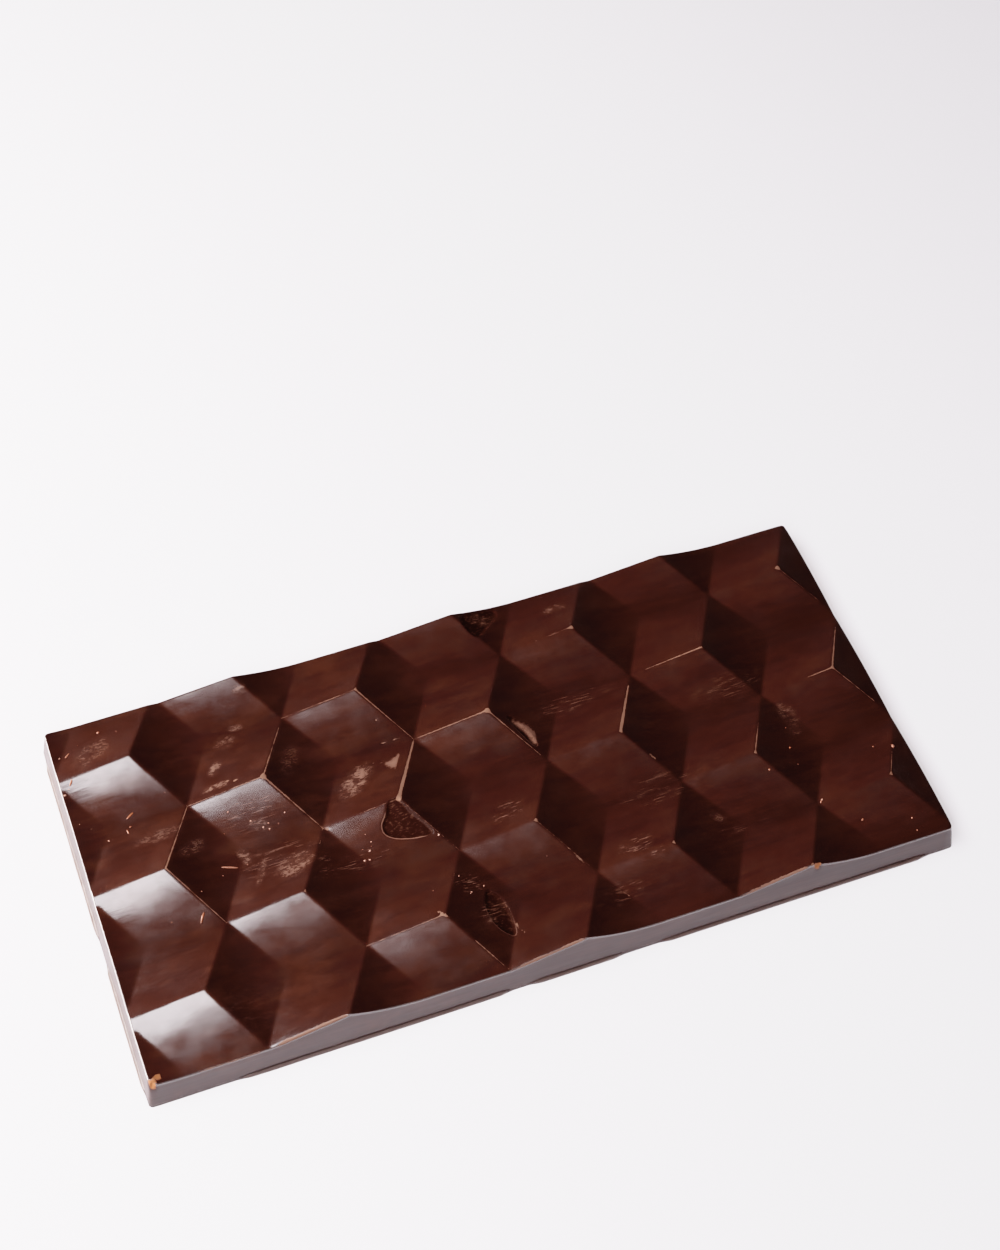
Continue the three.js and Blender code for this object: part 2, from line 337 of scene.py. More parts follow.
class StudioLook(bpy.types.PropertyGroup):
    """Floor and light."""

    floor: colour_setting("Floor", "Colour of the floor", to_linear("eae8ee"))
    window: FloatProperty(
        name="Window", description="Brightness of the upper window on the left", default=18.5, min=0.0)
    sill: FloatProperty(
        name="Low light", description="Brightness of the low light on the left", default=92.0, min=0.0)
    front: FloatProperty(
        name="Front fill", description="Brightness of the far soft light in front", default=2.4, min=0.0)
    room: FloatProperty(
        name="Room light", description="Brightness of the room above the bar", default=0.06, min=0.0)
    horizon: FloatProperty(
        name="Horizon", description="Brightness of the room's low surroundings", default=1.25, min=0.0)


def mould():
    """The mould's sizes in millimetres, with what follows from them."""
    sizes = bpy.context.scene.mould_sizes
    row = sizes.row_pitch / MM
    column = row * math.sqrt(3) / 2
    length = BAR_SPAN[0] / MM - 2 * LIP_OUT_MM
    width = BAR_SPAN[1] / MM - 2 * LIP_OUT_MM
    return SimpleNamespace(
        row=row, column=column, length=length, width=width,
        left=-COLUMNS * column / 2 + LATTICE_SHIFT[0], near=-ROWS * row / 2 + LATTICE_SHIFT[1],
        edge=sizes.edge_height / MM, rise=sizes.peak_rise / MM, lean=math.tan(sizes.wall_draft),
        corner=sizes.corner_radius / MM, rim=sizes.rim_round / MM, soft=sizes.ridge_round / MM,
        lip=sizes.lip_height / MM)


def smoothstep(low, high, value):
    """0 below low, 1 above high, and 3t^2 - 2t^3 between them."""
    t = np.clip((value - low) / (high - low), 0.0, 1.0)
    return t * t * (3.0 - 2.0 * t)


def value_noise(x, y, cell, seed):
    """Random numbers on a square grid of the given cell, blended by smoothstep between its corners."""
    table = np.random.default_rng(seed).random((NOISE_CELLS, NOISE_CELLS))
    u, v = (x + NOISE_START) / cell, (y + NOISE_START) / cell
    iu, iv = np.floor(u).astype(int), np.floor(v).astype(int)
    fu, fv = smoothstep(0.0, 1.0, u - iu), smoothstep(0.0, 1.0, v - iv)
    corner = lambda a, b: table[(iu + a) % NOISE_CELLS, (iv + b) % NOISE_CELLS]
    low = corner(0, 0) * (1 - fu) + corner(1, 0) * fu
    high = corner(0, 1) * (1 - fu) + corner(1, 1) * fu
    return low * (1 - fv) + high * fv


def nearness(i, j):
    """Share of the nearest lattice point: 1 less the six-sided distance to it, counted in ridge lengths."""
    i, j = i - np.round(i), j - np.round(j)
    share = np.zeros_like(i)
    for step_i in (-1, 0, 1):
        for step_j in (-1, 0, 1):
            a, b = i + step_i, j + step_j
            reach = np.maximum(np.maximum(np.abs(a + 2 * b), np.abs(a - b)), np.abs(2 * a + b))
            share = np.maximum(share, 1 - reach)
    return share


def sharp_top(x, y, m):
    """Height of the moulded top: edge height plus rise times peak share times (1 - valley share).

    On each rhombus that is a saddle, falling evenly along two ridges and flat at the valley."""
    column = (x - m.left) / m.column
    row = (y - m.near) / m.row - 0.5
    i, j = column / 2 + row, column / 2 - row
    return m.edge + m.rise * nearness(i - 1 / 3, j - 1 / 3) * (1 - nearness(i - 2 / 3, j - 2 / 3))


def soft_top(x, y, m):
    """The sharp top averaged over its centre and six points round it, which rounds every crease."""
    total = 0.25 * sharp_top(x, y, m)
    for turn in range(6):
        angle = math.radians(60 * turn + 30)
        total = total + 0.125 * sharp_top(x + m.soft * math.cos(angle), y + m.soft * math.sin(angle), m)
    return total


def closed_curve(points, per_span=6):
    """Catmull-Rom curve through the points, closed: a cubic in t for each span of four points."""
    p = np.array(points, float)
    t = np.linspace(0.0, 1.0, per_span, endpoint=False)[:, None, None]
    before, here, after, later = (np.roll(p, shift, axis=0)[None] for shift in (1, 0, -1, -2))
    curve = 0.5 * (2 * here + (after - before) * t + (2 * before - 5 * here + 4 * after - later) * t ** 2
                   + (3 * here - before - 3 * after + later) * t ** 3)
    return curve.transpose(1, 0, 2).reshape(-1, 2)


def segment_distance(x, y, start, end):
    """Distance to a straight stretch, and the share of it passed at its nearest point."""
    (ax, ay), (bx, by) = start, end
    dx, dy = bx - ax, by - ay
    share = np.clip(((x - ax) * dx + (y - ay) * dy) / (dx * dx + dy * dy), 0.0, 1.0)
    return np.hypot(x - ax - share * dx, y - ay - share * dy), share


def inside_distance(x, y, outline):
    """Distance to a closed outline, positive inside it."""
    best = np.full(x.shape, 1e9)
    inside = np.zeros(x.shape, bool)
    for (ax, ay), (bx, by) in zip(outline, np.roll(outline, -1, axis=0)):
        best = np.minimum(best, segment_distance(x, y, (ax, ay), (bx, by))[0])
        if ay != by:
            inside ^= ((ay > y) != (by > y)) & (x < (bx - ax) * (y - ay) / (by - ay) + ax)
    return np.where(inside, best, -best)


def rim_half(along, m, axis, side):
    """Half-length of the top at a place along the other axis: where the leaning wall meets the relief."""
    half = (m.length if axis == 0 else m.width) / 2
    edge = np.full_like(along, half - m.lean * m.edge)
    for _ in range(4):
        place = (side * edge, along) if axis == 0 else (along, side * edge)
        edge = half - m.lean * soft_top(*place, m)
    return edge


def grid_lines(m):
    """Lines along x and y that the pattern's corners lie on, with free lines for the rim at both ends."""
    step_x, step_y = m.column / 3 / STEPS, m.row / 2 / STEPS
    reach = m.lean * (m.edge + m.rise) + 3 * m.rim
    lines = []
    for start, step, half in ((m.left, step_x, m.length / 2), (m.near, step_y, m.width / 2)):
        first = math.ceil((-half + reach - start) / step)
        last = math.floor((half - reach - start) / step)
        lines.append(start + step * np.arange(first, last + 1))
    return lines


def top_sheet(m):
    """Grid of top points. Inner lines follow the pattern; outer ones follow the rim at set distances.

    Within a corner the square grid is bent to the round one by x sqrt(1 - y^2/2), y sqrt(1 - x^2/2)."""
    depths = m.rim * np.array(RIM_LINES)
    x, y = np.meshgrid(*(np.pad(line, len(depths), "edge") for line in grid_lines(m)), indexing="ij")
    for _ in range(3):
        for k, depth in enumerate(depths):
            x[k] = -rim_half(y[k], m, 0, -1) + depth
            x[-1 - k] = rim_half(y[-1 - k], m, 0, 1) - depth
            y[:, k] = -rim_half(x[:, k], m, 1, -1) + depth
            y[:, -1 - k] = rim_half(x[:, -1 - k], m, 1, 1) - depth
    half_x = np.where(x < 0, np.abs(x[0])[None], np.abs(x[-1])[None])
    half_y = np.where(y < 0, np.abs(y[:, 0])[:, None], np.abs(y[:, -1])[:, None])
    a = np.clip((np.abs(x) - half_x + m.corner) / m.corner, 0.0, 1.0)
    b = np.clip((np.abs(y) - half_y + m.corner) / m.corner, 0.0, 1.0)
    both = (a > 0) & (b > 0)
    bent_x = np.sign(x) * (half_x - m.corner + m.corner * a * np.sqrt(1 - b * b / 2))
    bent_y = np.sign(y) * (half_y - m.corner + m.corner * b * np.sqrt(1 - a * a / 2))
    x, y = np.where(both, bent_x, x), np.where(both, bent_y, y)
    over_x = np.maximum(np.abs(x) - half_x + m.corner, 0.0)
    over_y = np.maximum(np.abs(y) - half_y + m.corner, 0.0)
    depth = m.corner - np.hypot(over_x, over_y)
    normal = np.stack([np.sign(x) * over_x, np.sign(y) * over_y], -1)
    return x, y, depth, normal


def peak_place(column, row, m):
    """Place of a block's peak, with rows counted from the far edge."""
    return m.left + (column - 1 / 3) * m.column, m.near + (ROWS - row) * m.row


def ridge_end(column, row, name, m):
    """Low end of one of a block's three ridges: far, near or left of its peak."""
    x, y = peak_place(column, row, m)
    step = {"far": (1 / 3, 0.5), "near": (1 / 3, -0.5), "left": (-2 / 3, 0.0)}[name]
    return x + step[0] * m.column, y + step[1] * m.row


def pit_fields(x, y):
    """Depth of the pits, distance inside the nearest rim, and strength of the pale line left at it."""
    depth, inside, line = np.zeros_like(x), np.full_like(x, -1.0), np.zeros_like(x)
    for pit_depth, line_strength, rim in PITS:
        outline = closed_curve(rim)
        distance = np.clip(inside_distance(x, y, outline), -1.0, 1.0)
        rough = PIT_UNEVENNESS * (value_noise(x, y, cell=0.9, seed=11) - 0.5)
        depth += smoothstep(0.0, PIT_WALL, distance) * (pit_depth + rough)
        (middle_x, middle_y), (side_x, side_y) = outline.mean(axis=0), PIT_LINE_SIDE
        lower_left = smoothstep(-0.5, 0.8, (x - middle_x) * side_x + (y - middle_y) * side_y)
        line = np.maximum(line, line_strength * lower_left * (distance > -0.9))
        inside = np.maximum(inside, distance)
    return depth, inside, line


def rub_field(x, y, depth, m):
    """How far inside a pale line each point lies, for wear and painted highlights alike: half-width of the line
    less the distance to it.
    """
    rub = np.full_like(x, -1.0)
    # faint pale line along every ridge: partly wear, partly a painted highlight of the rounded crests
    for column in range(0, COLUMNS + 2):
        for half_row in range(-1, 2 * ROWS + 2):
            if (column + half_row) % 2 == 0:
                peak = peak_place(column, half_row / 2, m)
                for name in ("far", "near", "left"):
                    distance, _ = segment_distance(x, y, peak, ridge_end(column, half_row / 2, name, m))
                    rub = np.maximum(rub, RIDGE_FAINT_WEAR_AND_HIGHLIGHT - distance)
    for column, row, name, first, last, width in RUBBED_AND_HIGHLIT_RIDGES:
        peak, end = np.array(peak_place(column, row, m)), np.array(ridge_end(column, row, name, m))
        distance, share = segment_distance(x, y, peak + (end - peak) * first, peak + (end - peak) * last)
        rub = np.maximum(rub, width * (1.0 - RIDGE_NARROWING * share) - distance)
    for column, row, radius in BLUNT_PEAKS:
        peak = peak_place(column, row, m)
        rub = np.maximum(rub, radius - np.hypot(x - peak[0], y - peak[1]))
    for start_x, start_y, end_x, end_y, width in RUBS:
        distance, _ = segment_distance(x, y, (start_x, start_y), (end_x, end_y))
        rub = np.maximum(rub, width - distance)
    left_taper, right_taper = RIM_RUB_AND_HIGHLIGHT_TAPERS
    # pale stretches of the near rim: partly scuff, partly a painted highlight of the rounded rim
    for start, end, width in NEAR_RIM_RUBS_AND_HIGHLIGHTS:
        ends = smoothstep(start, start + left_taper, x) * smoothstep(-end, right_taper - end, -x)
        rub = np.where(y < 0, np.maximum(rub, RIM_RUB_AND_HIGHLIGHT_SHARE * (width * ends - depth)), rub)
    return rub


def patch_field(x, y, patches):
    """Strength of the patches: full in the middle of each ellipse, easing to 0 at its edge."""
    total = np.zeros_like(x)
    for middle_x, middle_y, length, width, turn, strength in patches:
        angle = math.radians(turn)
        u = ((x - middle_x) * math.cos(angle) + (y - middle_y) * math.sin(angle)) / length
        v = ((y - middle_y) * math.cos(angle) - (x - middle_x) * math.sin(angle)) / width
        total = np.maximum(total, strength * (1.0 - smoothstep(*PATCH_FADE, np.hypot(u, v))))
    return total


def scale_field(x, y):
    """1 inside the shed scales, easing to 0 over a third of a millimetre at their edges."""
    total = np.zeros_like(x)
    for outline in SHED_SCALES:
        total = np.maximum(total, smoothstep(-0.1, 0.25, inside_distance(x, y, np.array(outline))))
    return total


def bite_chips(points, m):
    """Pushes the points inside each bite out to its rough round surface. Returns how deep each was inside."""
    bitten = np.zeros(len(points))
    for centre, radius in CHIPS:
        away = points - np.array(centre)
        distance = np.linalg.norm(away, axis=1)
        noise = value_noise(2 * points[:, 0] + 100, 2 * points[:, 1] + points[:, 2], cell=0.8, seed=21)
        rough = radius * (1.0 + CHIP_ROUGHNESS * (noise - 0.5))
        inside = distance < rough
        scale = np.where(inside, rough / np.maximum(distance, 0.05), 1.0)
        points = np.array(centre) + away * scale[:, None]
        bitten = np.maximum(bitten, np.clip((rough - distance) / CHIP_SOFT, 0.0, 1.0))
    return points, bitten


def scrape_field(x, y):
    """1 inside the fresh scrape, which narrows to half its width, easing to 0 at its edge."""
    start, end, width = CHIP_SCRAPE
    distance, share = segment_distance(x, y, start, end)
    return np.clip((width * (1.0 - 0.5 * share) - distance) / CHIP_SOFT, 0.0, 1.0)


def lip_share(side_name, along):
    """1 in a stretch of lip, easing to 0 at its ends, and 0 in the gaps."""
    share = np.zeros_like(along)
    for start, end in LIP_STRETCHES[side_name]:
        ends = smoothstep(start, start + LIP_TAPER, along) * smoothstep(-end, LIP_TAPER - end, -along)
        share = np.maximum(share, ends)
    return share


def ring_indices(count_x, count_y):
    """Indices of the grid's border, anticlockwise seen from above, starting at the near left corner."""
    index = np.arange(count_x * count_y).reshape(count_x, count_y)
    return np.concatenate([index[:-1, 0], index[-1, :-1], index[:0:-1, -1], index[0, :0:-1]])


def wall_rings(px, py, pz, normal, m):
    """Rings of wall points from the rim to the foot, each with its share of the lip's scraped look.

    They follow the leaning wall, dip into the parting line and stand out over the lip. Offsets are along
    the outline's normal."""
    mitre = np.sign(normal) * (np.abs(normal) > 1e-6)
    unit = normal / np.maximum(np.linalg.norm(normal, axis=1, keepdims=True), 1e-9)
    share = np.zeros_like(px)
    for name, axis, sign in (("near", 1, -1), ("far", 1, 1), ("left", 0, -1), ("right", 0, 1)):
        on_side = unit[:, axis] * sign > SIDE_FACING
        along = px if axis == 1 else py
        share = np.where(on_side, lip_share(name, along), share)
    wander = value_noise(px, py, cell=5.0, seed=5) * 0.6 + value_noise(px, py, cell=1.3, seed=6) * 0.4
    lip_top = m.lip * (LIP_HEIGHT_SHARE[0] + LIP_HEIGHT_SHARE[1] * (wander - 0.5))
    uneven = value_noise(px, py, cell=6.0, seed=7) - 0.5
    out = share * LIP_OUT_MM * (LIP_OUT_SHARE[0] + LIP_OUT_SHARE[1] * uneven)
    rings = []
    foot_top = WALL_FOOT * m.lip
    for fall in WALL_FALLS:
        z = pz + (foot_top - pz) * fall
        sway = WALL_SWAY * (value_noise(px, py + 3 * z, cell=7.0, seed=8) - 0.5) * math.sin(math.pi * fall)
        rings.append((z, sway, np.zeros_like(px)))
    for tops, higher, widths, wider, parting, scraped in LIP_PROFILE:
        offset = widths * out + wider - parting * PARTING_DEPTH * share
        rings.append((tops * lip_top + higher, offset, scraped * share))
    points, lips = [], []
    for z, offset, lip in rings:
        lean = m.lean * (pz - z)
        place = np.stack([px, py], 1) + mitre * lean[:, None] + unit * offset[:, None]
        points.append(np.column_stack([place, z]))
        lips.append(lip)
    return points, lips


def split_quads(index, x, y, m):
    """Two triangles for each cell, cut along the diagonal whose middle is nearer the sharp relief."""
    a, b = index[:-1, :-1].ravel(), index[1:, :-1].ravel()
    c, d = index[1:, 1:].ravel(), index[:-1, 1:].ravel()
    xf, yf, zf = x.ravel(), y.ravel(), sharp_top(x, y, m).ravel()
    ac, bd = (zf[a] + zf[c]) / 2, (zf[b] + zf[d]) / 2
    middle = sharp_top((xf[a] + xf[b] + xf[c] + xf[d]) / 4, (yf[a] + yf[b] + yf[c] + yf[d]) / 4, m)
    first = np.abs(ac - middle) <= np.abs(bd - middle)
    one = np.where(first[:, None], np.column_stack([a, b, c]), np.column_stack([a, b, d]))
    two = np.where(first[:, None], np.column_stack([a, c, d]), np.column_stack([b, c, d]))
    return np.concatenate([one, two])


def new_piece(name, points_mm, faces, material):
    """Mesh object at the origin from points in millimetres, smooth shaded, with one material."""
    mesh = bpy.data.meshes.new(name)
    mesh.from_pydata((np.asarray(points_mm) * MM).tolist(), [], faces)
    mesh.validate()
    mesh.shade_smooth()
    mesh.materials.append(material)
    piece = bpy.data.objects.new(name, mesh)
    bpy.context.scene.collection.objects.link(piece)
    return piece


# Values that each point of the bar's surface carries for its material
POINT_VALUES = ("rub", "chip", "pit", "pit_line", "scale", "bloom", "scratch", "lip", "wall", "under")
UNDERSIDE_BELOW = 0.02


def bar_surface(m):
    """Closed surface of the bar: top sheet, wall rings hung from its border, and a flat underside.

    Top height is the soft relief, less the round of the rim, the pits and a shaving off rubbed ridges,
    plus a slow waver of a hundredth of a millimetre."""
    x, y, depth, normal = top_sheet(m)
    pit, inside, line = pit_fields(x, y)
    rub = rub_field(x, y, depth, m)
    level = soft_top(x, y, m)
    inset = np.clip(m.rim - depth, 0.0, m.rim)
    round_drop = m.rim - np.sqrt(m.rim ** 2 - inset ** 2)
    waver = TOP_WAVER * (value_noise(x, y, cell=6.5, seed=31) - 0.5) * smoothstep(*WAVER_DEPTHS, depth)
    shaved = RUB_SHAVE * np.clip(rub, 0.0, RUB_SHAVE_REACH)
    z = level - round_drop - pit - shaved + waver
    count_x, count_y = x.shape
    index = np.arange(x.size).reshape(x.shape)
    faces = split_quads(index, x, y, m)
    ring = ring_indices(count_x, count_y)
    flat = lambda values: values.ravel()[ring]
    rings, lips = wall_rings(flat(x), flat(y), flat(z), normal.reshape(-1, 2)[ring], m)
    points = [np.column_stack([x.ravel(), y.ravel(), z.ravel()])]
    quads = []
    above, start = ring, x.size
    for place in rings[1:]:
        below = start + np.arange(len(ring))
        quads.append(np.column_stack([above, below, np.roll(below, -1), np.roll(above, -1)]))
        points.append(place)
        above, start = below, start + len(ring)
    points.append(np.zeros((1, 3)))
    fan = np.column_stack([above, np.full(len(ring), start), np.roll(above, -1)])
    points, bitten = bite_chips(np.concatenate(points), m)
    bitten[:x.size] = np.maximum(bitten[:x.size], scrape_field(x, y).ravel())
    faces = faces.tolist() + np.concatenate(quads).tolist() + fan.tolist()

    def spread(top_values, elsewhere):
        values = np.full(len(points), float(elsewhere))
        values[:x.size] = top_values.ravel()
        return values

    lip, wall = np.zeros(len(points)), np.ones(len(points))
    lip[x.size:-1] = np.concatenate(lips[1:])
    wall[:x.size] = 0.0
    return points, faces, dict(zip(POINT_VALUES, (
        spread(rub, -1.0), bitten, spread(inside, -1.0), spread(line, 0.0), spread(scale_field(x, y), 0.0),
        spread(patch_field(x, y, BLOOM), 0.0), spread(patch_field(x, y, SCRATCHES), 0.0), lip, wall,
        (points[:, 2] < UNDERSIDE_BELOW).astype(float))))


def crumb_list():
    """Every crumb as rows of x, y, length, width, turn and tint: the ones listed, then strays."""
    rng = np.random.default_rng(77)
    count = STRAY_CRUMBS
    anchors = np.array(CRUMBS)[rng.integers(0, len(CRUMBS), count)]
    size = STRAY_SIZE[0] + STRAY_SIZE[1] * rng.random(count) ** 2
    places = [np.clip(anchors[:, axis] + rng.normal(0, scatter, count), -reach, reach)
              for axis, (scatter, reach) in enumerate(zip(STRAY_SCATTER, STRAY_REACH))]
    strays = np.column_stack([
        *places, size * (1 + rng.random(count)), size, rng.random(count) * 360, rng.random(count)])
    return np.concatenate([np.array(CRUMBS), strays])


def crumb_shards(m, around=12, rings=7):
    """Closed shards lying on the relief: each is a lumpy ellipsoid, bent a little along its length."""
    rows = crumb_list()
    count = len(rows)
    rng = np.random.default_rng(78)
    polar = np.linspace(0.0, math.pi, rings + 2)[1:-1]
    angle = np.linspace(0.0, 2 * math.pi, around, endpoint=False)
    lump = 1.0 + CRUMB_LUMPS * (rng.random((count, rings, around)) - 0.5)
    u = np.cos(polar)[None, :, None] * np.ones((count, 1, around))
    v = np.sin(polar)[None, :, None] * np.cos(angle)[None, None] * lump
    w = np.sin(polar)[None, :, None] * np.sin(angle)[None, None] * lump
    ends = np.zeros((count, 2, 3))
    ends[:, 0, 0], ends[:, 1, 0] = 1.0, -1.0
    body = np.concatenate([np.stack([u, v, w], -1).reshape(count, -1, 3), ends], axis=1)
    length, width, turn = rows[:, 2] / 2, rows[:, 3] / 2, np.radians(rows[:, 4])
    bend = CRUMB_BEND * rows[:, 2] * (rng.random(count) - 0.3)
    along = body[..., 0] * length[:, None]
    across = body[..., 1] * width[:, None] + bend[:, None] * body[..., 0] ** 2
    thick = np.minimum(width * CRUMB_FLATNESS, CRUMB_THICKEST)
    x = rows[:, 0, None] + along * np.cos(turn)[:, None] - across * np.sin(turn)[:, None]
    y = rows[:, 1, None] + along * np.sin(turn)[:, None] + across * np.cos(turn)[:, None]
    z = soft_top(x, y, m) + thick[:, None] * (CRUMB_LIFT + body[..., 2])
    points = np.stack([x, y, z], -1).reshape(-1, 3)
    points[:, 2] = np.minimum(points[:, 2], m.edge + m.rise - CRUMB_CLEARANCE)
    per = rings * around + 2
    grid = np.arange(rings * around).reshape(rings, around)
    here, beside = grid, np.roll(grid, -1, axis=1)
    quads = np.stack([here[:-1], here[1:], beside[1:], beside[:-1]], -1).reshape(-1, 4)
    first = np.stack([np.full(around, per - 2), here[0], beside[0]], -1)
    last = np.stack([np.full(around, per - 1), beside[-1], here[-1]], -1)
    shift = (np.arange(count) * per)[:, None, None]
    faces = (quads[None] + shift).reshape(-1, 4).tolist()
    faces += (np.concatenate([first, last])[None] + shift).reshape(-1, 3).tolist()
    return points, faces, {"tint": np.repeat(rows[:, 5], per)}


# Kinds of node that the materials use throughout, each with its settings
STEP = ("ShaderNodeMapRange", {"interpolation_type": "SMOOTHSTEP"})
TINT = ("ShaderNodeMix", {"data_type": "RGBA"})
MIX = ("ShaderNodeMix", {"data_type": "FLOAT"})
TIMES, PLUS, MOST, SIZE = [
    ("ShaderNodeMath", {"operation": word}) for word in ("MULTIPLY", "ADD", "MAXIMUM", "ABSOLUTE")]

# Patterns in the skin: size of a feature along x, y and z in millimetres, detail, roughness
SKIN_PATTERNS = {
    "flow": ((26.0, 2.2, 2.2), 3.0, 0.6),
    "hair": ((5.0, 0.26, 0.3), 2.0, 0.5),
    "cloud": ((6.0, 5.0, 5.0), 3.0, 0.6),
    "grain": ((0.5, 0.42, 0.42), 3.0, 0.7),
    "swirl": ((2.4, 1.3, 1.3), 3.0, 0.6),
    "drift": ((13.0, 6.5, 6.5), 4.0, 0.62),
    "wave": ((11.0, 4.2, 4.2), 1.0, 0.4),
    "brush": ((0.85, 0.32, 0.32), 3.0, 0.7),
}
CRUMB_PATTERNS = {"grain": ((0.3, 0.3, 0.3), 3.0, 0.7)}

# Height of the relief that those patterns leave in the skin, in metres
SKIN_RELIEF = {"flow": 0.00006, "wave": 0.00013, "hair": 0.000004, "grain": 0.00003}


def add_node(tree, kind, settings=None, *values, out=None, **links):
    """Adds a node with its own settings, and returns the output named by out, or else the first in use.

    Values fill the inputs in use from the first one on. Links fill inputs by name, with _ for a space.
    Each is a number, a vector, a colour or the output of another node."""
    node = tree.nodes.new(kind)
    for key, value in (settings or {}).items():
        setattr(node, key, value)
    pairs = list(zip([socket for socket in node.inputs if socket.enabled], values))
    pairs += [(node.inputs[key.replace("_", " ")], value) for key, value in links.items()]
    for socket, value in pairs:
        if isinstance(value, bpy.types.NodeSocket):
            tree.links.new(value, socket)
        else:
            socket.default_value = (*value, 1.0) if socket.type == "RGBA" else value
    if out:
        return node.outputs[out]
    return next((socket for socket in node.outputs if socket.enabled), None)


def new_material(name):
    """Node material without nodes, and its node tree."""
    material = bpy.data.materials.new(name)
    material.use_nodes = True
    material.node_tree.nodes.clear()
    return material, material.node_tree


def patterns(tree, sizes):
    """The place on the bar, and noise patterns on it whose features have the sizes given in millimetres."""
    place = add_node(tree, "ShaderNodeTexCoord", out="Object")
    found = SimpleNamespace(place=place)
    for name, (feature, detail, roughness) in sizes.items():
        scale = tuple(1.0 / (size * MM) for size in feature)
        mapped = add_node(tree, "ShaderNodeMapping", Vector=place, Scale=scale)
        pattern = add_node(
            tree, "ShaderNodeTexNoise", Vector=mapped, Scale=1.0, Detail=detail, Roughness=roughness)
        setattr(found, name, pattern)
    return found


def moulded_chocolate():
    """Tempered dark chocolate set against a polished mould."""
    look = bpy.context.scene.chocolate_look
    material, tree = new_material("tempered_dark_chocolate_moulded")
    node = partial(add_node, tree)
    skin = patterns(tree, SKIN_PATTERNS)
    at = SimpleNamespace(**{
        name: node("ShaderNodeAttribute", {"attribute_name": name}, out="Fac") for name in POINT_VALUES})
    # slow tan clouds in the skin, stronger to the left, and faint lengthwise flow marks
    along = node("ShaderNodeSeparateXYZ", None, skin.place, out="X")
    tan = node(*TIMES, node(*STEP, skin.drift, 0.46, 0.7), node(*STEP, along, -0.05, 0.02, 0.9, 0.45))
    marks = node(*STEP, skin.hair, 0.5, 0.75, 0.0, 0.4)
    # dull dark floors, faintly streaked, where air kept the chocolate off the mould
    pit = node(*STEP, at.pit, -0.06, 0.1)
    floor = node(*TINT, node(*STEP, skin.brush, 0.52, 0.72, 0.0, 0.3), look.pit, look.bloom)
    # bloom in soft mottled clouds, scratches in fine streaks, scales shed from the skin, and pale pit rims
    haze = node(*TIMES, node(*STEP, skin.swirl, 0.36, 0.62), node(*STEP, skin.brush, 0.36, 0.64, 0.12, 1.0))
    bloom = node(*TIMES, node(*STEP, haze, 0.0, 1.0, 0.08, 0.9), at.bloom)
    streak = node(*TIMES, node(*STEP, skin.hair, 0.48, 0.7, 0.0, 0.8), node(*STEP, skin.swirl, 0.38, 0.62))
    scratch = node(*TIMES, streak, at.scratch)
    scale = node(*TIMES, node(*STEP, skin.grain, 0.25, 0.6, 0.3, 0.85), at.scale)
    pit_rim = node(*TIMES, node(*STEP, node(*SIZE, at.pit), 0.02, 0.17, 0.9, 0.0), at.pit_line)
    dust = node(*MOST, node(*MOST, bloom, scratch), node(*MOST, scale, pit_rim))
    # ridges, peaks and rims gone pale in softly broken lines: partly wear, partly a painted highlight of the
    # rounded ridges and the near rim
    broken = node(*PLUS, node(*STEP, skin.swirl, 0.3, 0.62, -0.07, 0.02),
                  node(*STEP, skin.grain, 0.3, 0.7, -0.03, 0.03))
    rubbed_and_highlit = node(*STEP, node(*PLUS, at.rub, broken), -0.02, 0.13, 0.0, 0.9)
    # fresh orange-tan breaks where the rim is chipped, and a scraped lip, browner than the wall above it
    chip, lip = node(*STEP, at.chip, 0.1, 0.7), node(*STEP, at.lip, 0.2, 0.9)
    # clean reddish brown, and over it those layers in turn
    colour = node(*TINT, node(*STEP, skin.flow, 0.3, 0.7), look.dark, look.light)
    for share, tint in ((tan, look.cloud), (marks, look.cloud), (pit, floor), (dust, look.bloom),
                        (rubbed_and_highlit, look.worn_and_highlight), (chip, look.fresh), (lip, look.lip)):
        colour = node(*TINT, share, colour, tint)
    # roughness rises and shine falls over dust, rubs, chips, pits, the lip and the scraped underside
    coarse = node(*MOST, node(*MOST, chip, dust), rubbed_and_highlit)
    dull = node(*MOST, at.lip, at.under)
    rough = node(*PLUS, node(*STEP, skin.cloud, 0.3, 0.7, -0.03, 0.05), look.roughness)
    rough = node(*MIX, coarse, rough, 0.5)
    rough = node(*MIX, dull, rough, 0.42)
    shine = node(*MIX, at.wall, look.gloss, look.wall_gloss)
    for share, level in ((coarse, 0.08), (dull, 0.4), (pit, 0.02)):
        shine = node(*MIX, share, shine, level)
    satin = node(*MIX, at.wall, 0.15, 0.05)
    satin = node(*MIX, node(*MOST, coarse, pit), satin, 0.02)
    # relief, with the grain only where the skin is gone
    bump = {}
    for name, height in SKIN_RELIEF.items():
        strength = coarse if name == "grain" else 1.0
        bump["Normal"] = node(
            "ShaderNodeBump", Strength=strength, Distance=height, Height=getattr(skin, name), **bump)
    # clear skin left by the polished mould over a satin brown body
    shader = node("ShaderNodeBsdfPrincipled", Base_Color=colour, Roughness=0.42, IOR=1.5,
                  Specular_IOR_Level=satin, Specular_Tint=look.satin, Coat_Weight=shine,
                  Coat_Roughness=rough, Coat_IOR=1.8, Coat_Normal=bump["Normal"], **bump)
    node("ShaderNodeOutputMaterial", Surface=shader)
    return material


